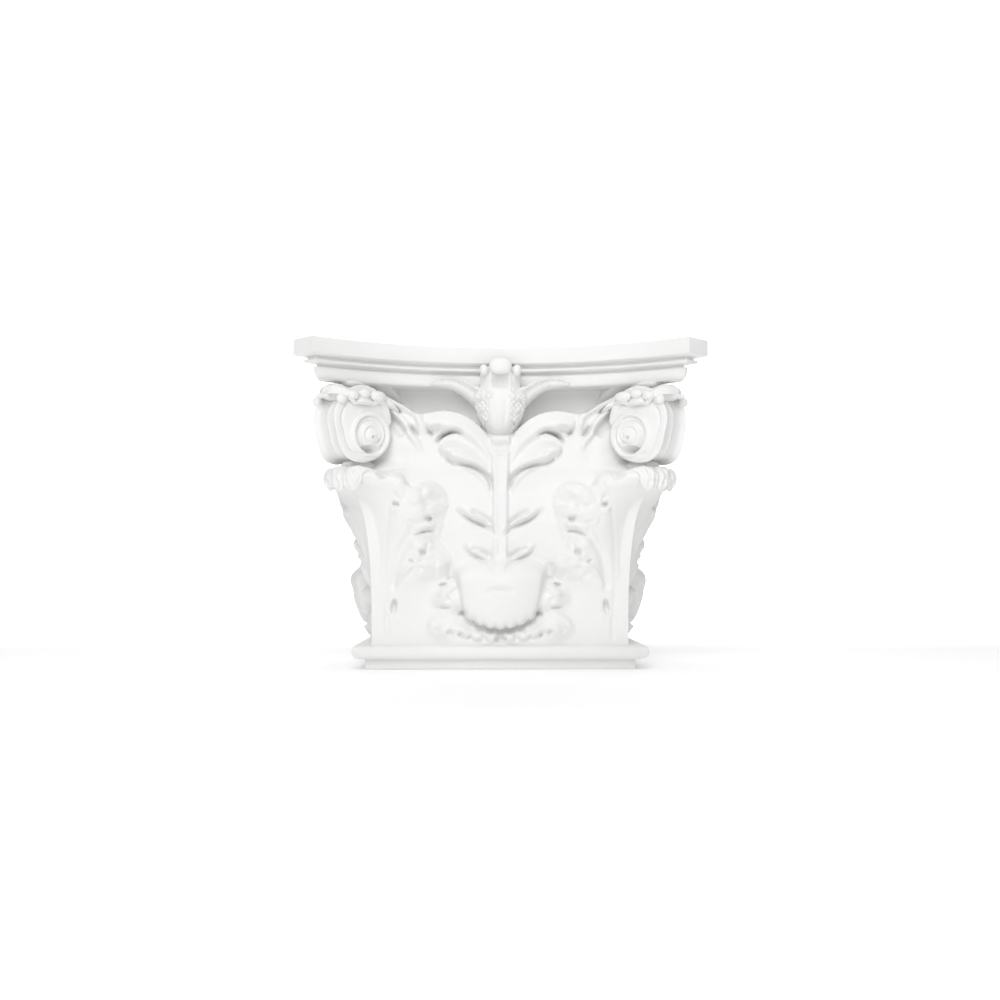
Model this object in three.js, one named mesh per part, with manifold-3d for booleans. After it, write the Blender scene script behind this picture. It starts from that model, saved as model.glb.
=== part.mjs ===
// A Corinthian capital for a square pillar or pilaster shaft, cast in one piece.
// Millimetres, +Z up, origin at the centre of the underside of the neck.
//
// Every ornament is shaped facing +X, as (out, side, up), and then turned about Z:
// by 0, 90, 180 and 270 degrees for what sits on the middle of a face, and by
// 45, 135, 225 and 315 degrees for what sits on a corner.
import * as THREE from "three";
import { LoftGeometry } from "three/addons/geometries/LoftGeometry.js";
import { mergeVertices } from "three/addons/utils/BufferGeometryUtils.js";
import Module from "manifold-3d";

// ---- Driving dimensions ----------------------------------------------------

const HEIGHT = 326;
const ABACUS_WIDTH = 408; // over the cut horns
const HORN_CUT = 22; // leg of the 45 degree cut on each horn
const ABACUS_DIP = 66; // how far the middle of each abacus side lies behind its horns
const ABACUS_DEPTH = 39; // slab, fillet and lower moulding together

const NECK_WIDTH = 272; // lowest step, which sits on the shaft
const NECK_STEP = 10;
const BAND_WIDTH = 300;
const BAND_TOP = 24; // the leaves stand on this level

const VOLUTE_OUT = 207; // eye of the corner scroll, measured along the diagonal
const VOLUTE_UP = 234;
const VOLUTE_REACH = 42; // radius of the scroll where it faces the corner
const VOLUTE_HALF = 17; // half the thickness of the scroll at its outer rim
const VOLUTE_TAPER = 0.12; // gain of half thickness for each mm towards the bell

const CORNER_LEAF_TOP = 197;
const MIDDLE_LEAF_TOP = 98;
const FLEURON_FOOT = 236;

const QUARTER = Math.PI / 2;
const DIAGONAL = Math.SQRT2;

// ---- Solids ----------------------------------------------------------------

const wasm = await Module();
wasm.setup();

const at = (out, side, up) => new THREE.Vector3(out, side, up);

// A closed geometry as a manifold-3d solid.
function solidOf(geometry) {
  const bare = new THREE.BufferGeometry();
  bare.setAttribute("position", geometry.getAttribute("position"));
  if (geometry.index) bare.setIndex(geometry.index);
  const merged = mergeVertices(bare, 1e-3);
  return new wasm.Manifold(
    new wasm.Mesh({
      numProp: 3,
      vertProperties: merged.attributes.position.array,
      triVerts: new Uint32Array(merged.index.array),
    }),
  );
}

// Skins sections that run counterclockwise as seen from the last one.
function loft(sections) {
  return new THREE.BufferGeometry().copy(new LoftGeometry(sections, { capStart: true, capEnd: true }));
}

// The same geometry on the other side of its middle plane, still facing out.
function otherSide(geometry) {
  const copy = geometry.clone().applyMatrix4(new THREE.Matrix4().makeScale(1, -1, 1));
  const flat = copy.index ? copy.toNonIndexed() : copy;
  const p = flat.getAttribute("position");
  for (let i = 0; i < p.count; i += 3) {
    const [x, y, z] = [p.getX(i), p.getY(i), p.getZ(i)];
    p.setXYZ(i, p.getX(i + 1), p.getY(i + 1), p.getZ(i + 1));
    p.setXYZ(i + 1, x, y, z);
  }
  return flat;
}

const bothSides = (geometry) => [geometry, otherSide(geometry)];

// Four copies about the axis, the first one turned by `start`.
function fourTimes(geometry, start) {
  return [0, 1, 2, 3].map((k) => geometry.clone().rotateZ(start + k * QUARTER));
}

const onFaces = (geometry) => fourTimes(geometry, 0);
const onCorners = (geometry) => fourTimes(geometry, QUARTER / 2);

// Straight-line reading of a table of [height, value] stops.
function readStops(stops, height) {
  if (height <= stops[0][0]) return stops[0][1];
  for (let i = 1; i < stops.length; i++) {
    const [h0, v0] = stops[i - 1];
    const [h1, v1] = stops[i];
    if (height <= h1) return v0 + ((v1 - v0) * (height - h0)) / (h1 - h0);
  }
  return stops[stops.length - 1][1];
}

// A four-sided ring at one height. side(fraction) gives [out, side] for -1..1 across a face.
function fourSided(up, side, steps) {
  const ring = [];
  for (let k = 0; k < 4; k++) {
    for (let i = 0; i <= steps; i++) {
      const [out, across] = side((2 * i) / steps - 1);
      ring.push(at(out, across, up).applyAxisAngle(new THREE.Vector3(0, 0, 1), k * QUARTER));
    }
  }
  return ring;
}

// ---- Neck and bell ---------------------------------------------------------

const BELL_MIDDLE = [[BAND_TOP, 129], [100, 130], [160, 127], [210, 119], [250, 109], [290, 107]];
const BELL_CORNER = [[BAND_TOP, 129], [100, 129], [160, 133], [210, 141], [250, 150], [290, 158]];
const BELL_CUT = 9; // corner cut of the bell
const BELL_HOLLOW = 2.6; // how late the side turns out towards the corner

// How far the bell stands out from the axis plane of a face.
function bellOut(side, up) {
  const middle = readStops(BELL_MIDDLE, up);
  const corner = readStops(BELL_CORNER, up);
  return middle + (corner - middle) * Math.min(1, Math.abs(side) / corner) ** BELL_HOLLOW;
}

function neckAndBell() {
  const square = (width, up) => [1, -1].flatMap((s) => [
    at((s * width) / 2, (s * width) / 2, up),
    at((-s * width) / 2, (s * width) / 2, up),
  ]);
  const neck = [
    square(NECK_WIDTH, 0),
    square(NECK_WIDTH, NECK_STEP),
    square(BAND_WIDTH, NECK_STEP),
    square(BAND_WIDTH, BAND_TOP - 7),
    square(BAND_WIDTH - 4, BAND_TOP - 2.5),
    square(BAND_WIDTH - 14, BAND_TOP),
  ];
  const levels = [BAND_TOP - 6, 100, 160, 190, 215, 240, 265, 295];
  const bell = levels.map((up) => {
    const half = readStops(BELL_CORNER, up) - BELL_CUT;
    return fourSided(up, (f) => [bellOut(f * (half + BELL_CUT), up), f * half], 4);
  });
  return [loft(neck), loft(bell)];
}

// ---- Abacus ----------------------------------------------------------------

// The plan of the abacus moved inwards by `inset`: four arcs joined by the cut horns.
function abacusRing(inset, up) {
  const half = ABACUS_WIDTH / 2;
  const hornSide = half - HORN_CUT;
  const radius = (hornSide ** 2 + ABACUS_DIP ** 2) / (2 * ABACUS_DIP);
  const centre = half - ABACUS_DIP + radius;
  const arc = radius + inset;
  const gap = centre - (half + hornSide - inset * DIAGONAL);
  const reach = (Math.sqrt(2 * arc ** 2 - gap ** 2) - gap) / 2;
  return fourSided(up, (f) => [centre - Math.sqrt(arc ** 2 - (f * reach) ** 2), f * reach], 7);
}

function abacus() {
  // Inset from the slab's face, and depth below the top, from the bottom up.
  const profile = [
    [15, ABACUS_DEPTH],
    [12, 35],
    [11.5, 26],
    [12, 24],
    [7, 23],
    [7, 19.5],
    [9, 18],
    [0, 16.5],
    [0, 0],
  ];
  return loft(profile.map(([inset, depth]) => abacusRing(inset, HEIGHT - depth)));
}

// ---- Leaves ----------------------------------------------------------------

// A lobed leaf about its middle plane. `rib` and `edge` are curves that run from foot to tip.
// Odd rows are drawn in to part the lobes. The leaf thins from `foot` mm to `tip` mm.
function leaf(rib, edge, rows, notch, foot, tip, ridge) {
  const shares = [-1, -0.5, 0, 0.5, 1];
  const swell = [0, -0.6, 1, -0.6, 0];
  const sections = [];
  for (let row = 0; row <= rows; row++) {
    const u = row / rows;
    const centre = rib.getPoint(u);
    const rim = edge.getPoint(u);
    const along = rib.getTangent(u);
    const outward = at(along.z, 0, -along.x).normalize();
    const reach = row % 2 ? 1 - notch : 1;
    const front = shares.map((share, i) => {
      const p = centre.clone().lerp(rim, Math.abs(share) * reach);
      p.y *= Math.sign(share);
      return p.addScaledVector(outward, ridge * swell[i]);
    });
    const body = foot + (tip - foot) * Math.min(1, u * 1.5);
    const back = [4, 2, 0].map((i) => front[i].clone().addScaledVector(outward, -body));
    sections.push([...front, ...back]);
  }
  return loft(sections);
}

const curve = (points) => new THREE.CatmullRomCurve3(points.map((p) => at(...p)), false, "centripetal");

// Stands on the corner, its halves lying on two faces, and rolls over under the scroll.
function cornerLeaf() {
  const top = CORNER_LEAF_TOP;
  const rib = curve([
    [184, 0, BAND_TOP - 5], [185, 0, 60], [187, 0, 95], [191, 0, 133], [199, 0, 163],
    [210, 0, top - 14], [219, 0, top - 7], [224, 0, top - 9], [224, 0, top - 14], [221, 0, top - 18],
  ]);
  const edge = curve([
    [142, 62, BAND_TOP + 4], [141, 66, 66], [146, 66, 108], [153, 62, 148], [167, 53, 180],
    [192, 38, top - 4], [212, 32, top - 5], [219, 30, top - 9], [221, 27, top - 14], [219, 22, top - 18],
  ]);
  return leaf(rib, edge, 12, 0.2, 26, 9, 2.5);
}

// Stands on the middle of the face and rolls over into a broad scalloped lip.
function middleLeaf() {
  const top = MIDDLE_LEAF_TOP;
  const rib = curve([
    [133, 0, BAND_TOP - 5], [136, 0, 45], [140, 0, 70], [146, 0, top - 12], [151, 0, top - 9],
    [155, 0, top - 15], [156, 0, top - 28], [154, 0, top - 43], [150, 0, top - 58],
  ]);
  const edge = curve([
    [136, 56, BAND_TOP - 2], [138, 70, 45], [139, 62, 72], [145, 44, top - 16], [150, 42, top - 14],
    [153, 45, top - 20], [153, 44, top - 34], [151, 34, top - 48], [148, 8, top - 60],
  ]);
  return leaf(rib, edge, 10, 0.12, 20, 8, 2);
}

// One lobe on a face. `spine` holds [side, up, half width]; its lower edge stands `lift` mm
// proud of the bell and its upper edge sinks back into it.
function lobe(spine, lift, bury = 8) {
  const sections = spine.map(([side, up, half], i) => {
    const before = spine[Math.max(0, i - 1)];
    const after = spine[Math.min(spine.length - 1, i + 1)];
    const run = new THREE.Vector2(after[0] - before[0], after[1] - before[1]).normalize();
    const place = (share, height) => {
      const y = side - run.y * half * share;
      const z = up + run.x * half * share;
      return at(bellOut(y, z) + height, y, z);
    };
    return [place(-1, -bury), place(1, -bury), place(1, 1), place(-1, lift)];
  });
  return loft(sections);
}

// The stem up the middle of a face and the four pairs of lobes that leave it.
function middlePlant() {
  const stem = loft([
    [4, 90],
    [5, 150],
    [7, 215],
    [9, 236],
  ].map(([half, up]) => [
    at(bellOut(0, up) + 9, -half, up), at(bellOut(0, up) + 9, half, up),
    at(bellOut(0, up) - 12, half, up), at(bellOut(0, up) - 12, -half, up),
  ]));
  const lobes = [
    lobe([[5, 108, 5], [19, 118, 9], [33, 132, 9], [42, 146, 4]], 9),
    lobe([[5, 142, 6], [24, 155, 11], [40, 169, 11], [50, 184, 5]], 10),
    lobe([[6, 184, 6], [20, 205, 9], [36, 217, 13], [51, 223, 14], [63, 226, 7]], 15),
    lobe([[7, 222, 6], [24, 238, 11], [45, 248, 13], [66, 250, 12], [82, 246, 6]], 17),
  ];
  return [stem, ...lobes.flatMap(bothSides)];
}

// ---- Scrolls ---------------------------------------------------------------

// Radius of the scroll's rim after it has turned by `turn` from facing the corner.
function scrollRadius(turn) {
  const settle = 2.1; // radians in which the broad outer sweep closes in on the inner ring
  const ring = 16;
  const inner = Math.max(0, turn - Math.PI * 2);
  return ring + (VOLUTE_REACH - ring) * Math.exp(-Math.max(0, turn) / settle) - inner * 2.3;
}

function scrollPoint(turn, inset) {
  const radius = scrollRadius(turn) - inset;
  return new THREE.Vector2(VOLUTE_OUT + radius * Math.cos(turn), VOLUTE_UP - radius * Math.sin(turn));
}

// An outline in the upright diagonal plane, thickened to both sides and widened towards the bell.
function scrollPlate(shape, extra) {
  const plate = new THREE.ExtrudeGeometry(shape, { depth: 2, bevelEnabled: false });
  plate.translate(0, 0, -1).rotateX(QUARTER);
  const p = plate.getAttribute("position");
  for (let i = 0; i < p.count; i++) {
    const half = VOLUTE_HALF + extra + (VOLUTE_OUT + VOLUTE_REACH - p.getX(i)) * VOLUTE_TAPER;
    p.setY(i, p.getY(i) * half);
  }
  return plate;
}

function cornerScroll() {
  const start = -0.6 * Math.PI;
  const turns = (from, to, steps) => Array.from({ length: steps + 1 }, (_, i) => from + ((to - from) * i) / steps);
  const body = new THREE.Shape(turns(start, start + 2 * Math.PI, 14).map((turn) => scrollPoint(turn, 2)));
  const outer = turns(start, 2.8 * Math.PI, 18).map((turn) => scrollPoint(turn, 0));
  const inner = turns(2.8 * Math.PI, start, 13).map((turn) => scrollPoint(turn, 4.5));
  const rim = new THREE.Shape([...outer, ...inner]);
  const eye = new THREE.CylinderGeometry(6, 6, 2 * VOLUTE_HALF + 14, 6).translate(VOLUTE_OUT, 0, VOLUTE_UP);
  return [scrollPlate(body, -3.5), scrollPlate(rim, 0), eye];
}

// The leaf that lies along the top of a scroll and points out under the horn.
function scrollLeaf() {
  const stations = [[150, 262, 17], [174, 273, 29], [188, 277, 24], [204, 281, 31], [230, 280, 24], [254, 272, 6]];
  return loft(stations.map(([out, up, half]) => [
    at(out, half, up - 12), at(out, half, up - 4), at(out, 0, up + 5), at(out, -half, up - 4), at(out, -half, up - 12),
  ]));
}

// The stalk that carries a scroll, from between the leaves up to its first turn.
function scrollStalk() {
  const stations = [[131, 62, 200, 5], [141, 78, 230, 8], [146, 108, 268, 9]];
  return loft(stations.map(([out, side, up, half]) => {
    const across = new THREE.Vector2(-0.83, 0.56).multiplyScalar(half);
    return [
      at(out, side - across.x, up - across.y), at(out - 18, side - across.x, up - across.y),
      at(out - 18, side + across.x, up + across.y), at(out, side + across.x, up + across.y),
    ];
  }));
}

// ---- Fleuron ---------------------------------------------------------------

// The shell-shaped flower on the middle of each abacus side, with a leaf to each hand.
function fleuron() {
  const stations = [[FLEURON_FOOT, 9, 124], [252, 20, 131], [274, 25, 140], [304, 20, 149]];
  const shell = loft(stations.map(([up, half, out]) => {
    const arc = [-1, -0.6, 0, 0.6, 1];
    const front = arc.map((f) => at(out - 13 * f * f, f * half, up));
    return [...front, at(104, half, up), at(104, -half, up)];
  }));
  const bulb = new THREE.SphereGeometry(1, 8, 5).scale(8, 10.5, 7).translate(146, 0, 309);
  const curl = new THREE.SphereGeometry(1, 6, 4).scale(6, 5, 6).translate(141, 17, 306);
  const wingStations = [[20, 252, 5, 131], [35, 278, 7, 135], [52, 289, 6, 139], [68, 289, 3, 144]];
  const wing = loft(wingStations.map(([side, up, half, out]) => [
    at(out - 24, side + half * 0.7, up - half), at(out - 24, side - half * 0.7, up + half),
    at(out, side - half * 0.7, up + half), at(out, side + half * 0.7, up - half),
  ]));
  return [shell, bulb, ...bothSides(curl), ...bothSides(wing)];
}

// ---- The casting -----------------------------------------------------------

const pieces = [
  ...neckAndBell(),
  abacus(),
  ...onCorners(cornerLeaf()),
  ...onFaces(middleLeaf()),
  ...middlePlant().flatMap(onFaces),
  ...cornerScroll().flatMap(onCorners),
  ...onCorners(scrollLeaf()),
  ...bothSides(scrollStalk()).flatMap(onFaces),
  ...fleuron().flatMap(onFaces),
];

const casting = pieces.map(solidOf).reduce((whole, piece) => whole.add(piece));

function geometryOf(solid) {
  const mesh = solid.getMesh();
  const geometry = new THREE.BufferGeometry();
  geometry.setAttribute("position", new THREE.BufferAttribute(mesh.vertProperties, 3));
  geometry.setIndex(new THREE.BufferAttribute(mesh.triVerts, 1));
  geometry.computeVertexNormals();
  return geometry;
}

const whiteCasting = new THREE.MeshStandardMaterial({
  name: "white_casting",
  color: 0xf2f1ee,
  roughness: 0.62,
  metalness: 0,
});

const capital = new THREE.Mesh(geometryOf(casting), whiteCasting);
capital.name = "capital";

const part = new THREE.Group();
part.name = "corinthian_capital";
part.add(capital);

export default part;
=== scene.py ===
"""A Corinthian capital, carved leaf by leaf on four alike faces, laid out as a Blender add-on.

Shapes are worked out in millimetres, in two sets of coordinates. A face has (side, up, out): side to
the right of its middle, up from the underside, out from the axis. A corner has (out, side, up) with
out along the diagonal. Both are turned about the axis into place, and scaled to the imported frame.
"""
import math

import bpy
import numpy as np
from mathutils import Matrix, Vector


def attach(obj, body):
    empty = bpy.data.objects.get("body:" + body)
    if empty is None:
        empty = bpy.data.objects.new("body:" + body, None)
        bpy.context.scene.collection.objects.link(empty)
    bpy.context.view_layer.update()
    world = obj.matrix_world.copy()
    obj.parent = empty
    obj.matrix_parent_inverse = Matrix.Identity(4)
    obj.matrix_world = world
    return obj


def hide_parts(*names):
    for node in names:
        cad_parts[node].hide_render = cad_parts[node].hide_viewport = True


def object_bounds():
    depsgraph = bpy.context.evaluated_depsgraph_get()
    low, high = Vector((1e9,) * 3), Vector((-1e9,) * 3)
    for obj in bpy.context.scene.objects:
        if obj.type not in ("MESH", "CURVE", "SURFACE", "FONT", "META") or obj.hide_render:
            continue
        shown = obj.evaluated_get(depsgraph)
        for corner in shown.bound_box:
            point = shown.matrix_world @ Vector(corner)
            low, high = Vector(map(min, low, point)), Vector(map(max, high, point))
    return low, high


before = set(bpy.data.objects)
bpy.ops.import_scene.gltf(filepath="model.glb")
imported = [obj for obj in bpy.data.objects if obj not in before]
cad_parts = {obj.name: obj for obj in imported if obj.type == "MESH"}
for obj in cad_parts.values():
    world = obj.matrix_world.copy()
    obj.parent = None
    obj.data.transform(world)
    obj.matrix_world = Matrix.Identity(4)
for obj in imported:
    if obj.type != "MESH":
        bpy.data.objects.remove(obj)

bl_info = {
    "name": "Corinthian capital",
    "version": (1, 0, 0),
    "blender": (4, 5, 0),
    "location": "3D View > Sidebar > Capital",
    "description": "Builds a square Corinthian capital with acanthus leaves and corner scrolls",
    "category": "Add Mesh",
}

CAD_BOX = [list(corner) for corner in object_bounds()]
FRAME_WIDTH = CAD_BOX[1][0] - CAD_BOX[0][0]
WIDTH = 408.0  # over the horns of the abacus, in millimetres
MM = FRAME_WIDTH / WIDTH  # one millimetre of the shapes below, in metres
HEIGHT = (CAD_BOX[1][2] - CAD_BOX[0][2]) / MM - 0.02  # a hair under the frame's own top
HORN_CUT = 22.0
ABACUS_DIP = 66.0
ABACUS_DEPTH = 39.0
NECK_WIDTH = 272.0
NECK_STEP = 10.0
BAND_TOP = 24.0


# ---- Curves and fields -----------------------------------------------------


def ease(low, high, x):
    """Smooth step: 0 below low, 1 above high, and 3t^2 - 2t^3 between."""
    t = np.clip((x - low) / (high - low), 0.0, 1.0)
    return t * t * (3.0 - 2.0 * t)


def through(stops, x):
    """Cubic Hermite curve through (place, value) stops, with the mean slope at each stop."""
    place, value = np.asarray(stops, float).T
    slope = np.gradient(value, place)
    x = np.clip(x, place[0], place[-1])
    i = np.clip(np.searchsorted(place, x, side="right") - 1, 0, len(place) - 2)
    run = place[i + 1] - place[i]
    t = (x - place[i]) / run
    rise = t * t * (3.0 - 2.0 * t)
    return (
        value[i] * (1.0 - rise)
        + value[i + 1] * rise
        + run * (slope[i] * t * (1.0 - t) ** 2 - slope[i + 1] * t * t * (1.0 - t))
    )


def curve(points, count=28):
    """Evenly read points of a smooth curve through the rows of points, by running length."""
    points = np.asarray(points, float)
    length = np.concatenate([[0.0], np.cumsum(np.linalg.norm(np.diff(points, axis=0), axis=1))])
    share = np.linspace(0.0, length[-1], count)
    return np.stack([through(np.stack([length, column], 1), share) for column in points.T], 1)


def beside(side, up, line):
    """Share along the nearest stretch of a line, and distance from it, positive to its left."""
    nearest = np.full(np.shape(side), np.inf)
    share = np.zeros_like(nearest)
    offset = np.zeros_like(nearest)
    for k, (start, end) in enumerate(zip(line[:-1], line[1:])):
        run = end - start
        t = np.clip(((side - start[0]) * run[0] + (up - start[1]) * run[1]) / (run @ run), 0.0, 1.0)
        dx = side - start[0] - t * run[0]
        dy = up - start[1] - t * run[1]
        away = np.hypot(dx, dy)
        closer = away < nearest
        nearest = np.where(closer, away, nearest)
        share = np.where(closer, (k + t) / (len(line) - 1), share)
        offset = np.where(closer, np.where(run[0] * dy >= run[1] * dx, away, -away), offset)
    return share, offset


def pillow(q):
    """Height of a half round of radius 1 at distance q from its middle."""
    return np.sqrt(np.clip(1.0 - q * q, 0.0, 1.0))


def oval(side, up, middle, radii, turn=0.0):
    """Squared distance from middle, measured in radii along axes turned by turn degrees."""
    cos, sin = math.cos(math.radians(turn)), math.sin(math.radians(turn))
    dx, dy = side - middle[0], up - middle[1]
    return ((dx * cos + dy * sin) / radii[0]) ** 2 + ((dy * cos - dx * sin) / radii[1]) ** 2


def soft_max(a, b, width):
    """The greater of two heights, with a rounded change-over between them width wide."""
    share = np.clip(0.5 + 0.5 * (a - b) / width, 0.0, 1.0)
    return b + (a - b) * share + width * share * (1.0 - share)


class Relief:
    """A carved surface over (side, up): out holds its height, and each tool cuts or lays on."""

    def __init__(self, side, up, out):
        self.side, self.up, self.out = side, up, out

    def lay(self, mask, surface):
        """Goes over to surface where mask is 1."""
        self.out = self.out + (surface - self.out) * mask

    def roll(self, ground, points, lower_step):
        """A swelling lobe along a curve through points of (side, up, half width, lift).

        It rises softly from its left, is fullest right of its middle, and breaks off on its right
        at lower_step of its height.
        """
        line = curve(points)
        share, offset = beside(self.side, self.up, line[:, :2])
        at = np.linspace(0.0, 1.0, len(line))
        half, lift = (through(np.stack([at, column], 1), share) for column in line[:, 2:].T)
        q = offset / np.maximum(half, 1e-3)
        left = ease(1.0, -0.25, q)
        right = lower_step + (1.0 - lower_step) * ease(-1.05, -0.25, q)
        height = lift * np.where(q > -0.25, left, right)
        merged = soft_max(self.out, ground + height, 3.5 * ease(1.0, 0.7, np.abs(q)) + 0.01)
        self.out = np.where(np.abs(q) < 1.0, merged, self.out)

    def ridge(self, points, width, height, tail=0.12):
        """Adds a bead of half round section along a curve, fading out over a tail at each end."""
        share, offset = beside(self.side, self.up, curve(points))
        fade = ease(0.0, tail, share) * ease(1.0, 1.0 - tail, share)
        self.out = self.out + height * pillow(offset / width) * fade

    def groove(self, points, width, depth):
        """Cuts a bell-shaped groove along a curve, fading out at both ends."""
        share, offset = beside(self.side, self.up, curve(points))
        fade = ease(0.0, 0.15, share) * ease(1.0, 0.85, share)
        self.out = self.out - depth * np.exp(-((offset / width) ** 2) * 2.0) * fade

    def slit(self, points, slope, wall, depth):
        """Undercuts a lobe: deepest on the curve, a long slope to its left and a wall to its right."""
        share, offset = beside(self.side, self.up, curve(points))
        fade = np.sin(np.pi * np.clip(share, 0.0, 1.0)) ** 0.7
        above = np.clip(1.0 - offset / slope, 0.0, 1.0) ** 1.5
        below = ease(-wall, 0.0, offset)
        self.out = self.out - depth * fade * np.where(offset > 0.0, above, below)

    def eye(self, middle, radii, depth, turn=0.0):
        """Drills an oval hole: depth times one less the fourth power of the distance."""
        q = oval(self.side, self.up, middle, radii, turn)
        self.out = self.out - depth * np.clip(1.0 - q * q, 0.0, 1.0)

    def swell(self, middle, radii, height, turn=0.0):
        """Adds a soft oval swelling: height times (1 - q)^2 over squared distance q."""
        q = oval(self.side, self.up, middle, radii, turn)
        self.out = self.out + height * np.clip(1.0 - q, 0.0, 1.0) ** 2

    def knob(self, middle, radii, height, turn=0.0):
        """Adds an oval half round."""
        q = oval(self.side, self.up, middle, radii, turn)
        self.out = self.out + height * np.sqrt(np.clip(1.0 - q, 0.0, 1.0))

    def soften(self, times):
        """Rounds every edge a little: each point goes to the (1, 2, 1) mean, along both axes."""
        for _ in range(times):
            for axis in (0, 1):
                padded = np.pad(self.out, [(1, 1) if a == axis else (0, 0) for a in (0, 1)], "edge")
                before, after = np.split(padded, [2], axis)[1], np.split(padded, [-2], axis)[0]
                self.out = (before + 2.0 * self.out + after) / 4.0


# ---- One face, between its two corners -------------------------------------

# Where the arris at the corner stands out from each of its two faces, against height.
ARRIS = [
    (18, 130), (60, 130), (94, 131), (133, 134.5), (156, 138.5), (168, 142.5), (178, 148), (187, 155),
    (193, 158), (197, 154), (204, 139), (230, 134), (262, 136), (294, 148),
]
# Where the plate of each face stands out, against height.
PLATE = [
    (18, 131), (60, 131), (100, 132.5), (124, 137), (150, 142.5), (172, 144.5), (192, 143), (215, 140.5),
    (294, 142),
]
# Upper edge of the calyx, against the distance from the middle of the face.
CALYX_TOP = [
    (0, 233), (9, 234), (20, 241), (30, 248.5), (40, 254.5), (51, 259), (62, 261.5), (74, 260), (84, 259),
    (98, 267), (114, 275.5), (128, 283), (170, 294),
]
# Where the bell stands out in the shade of the abacus, against height.
RECESS = [(18, 130), (225, 109), (252, 96), (272, 95), (294, 102)]


def blank(side, up):
    """The uncarved face: a plate that turns out to the arris, and the bell's hollow above the calyx.

    The hollow comes out again with the 3.6th power of the distance from the middle, and as a bell curve
    behind the flower.
    """
    arris = through(ARRIS, up)
    plate = through(PLATE, up)
    out = plate + (arris - plate) * ease(arris - 38.0 - 18.0 * ease(160.0, 190.0, up), arris, side)
    hollow = through(RECESS, up) + 24.0 * (side / 150.0) ** 3.6 + 28.0 * np.exp(-((side / 27.0) ** 2))
    top = through(CALYX_TOP, side)
    out = out + (np.minimum(hollow, out) - out) * ease(top - 1.0, top + 2.0, up)
    return Relief(side, up, out), arris, plate


# How far the blade of the corner leaf rises from the arris towards its free edge, against height, and
# how far from the middle of the face that edge is.
BLADE_RISE = [
    (18, 0), (50, 1.5), (70, 4), (84, 8), (96, 13), (106, 16), (118, 19), (129, 23), (139, 26.5), (150, 30),
    (160, 30), (170, 28), (180, 23.5), (190, 16.5), (200, 12),
]
BLADE_EDGE = [
    (18, 82), (60, 76), (86, 66), (94, 54), (104, 48), (115, 49), (124, 56), (131, 60), (138, 58), (145, 56),
    (152, 55), (160, 52), (168, 51), (178, 53), (186, 60), (192, 76), (200, 92),
]
# Height of the leaf's upper edge, against the distance from the middle of the face.
CROWN = [
    (52, 176), (58, 181), (66, 186.5), (72, 188.5), (79, 186), (86, 182), (92, 184), (98, 193), (103, 197),
    (109, 195.5), (115, 191), (118.5, 190.5), (122, 196), (127, 198.5), (160, 199),
]


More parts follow.
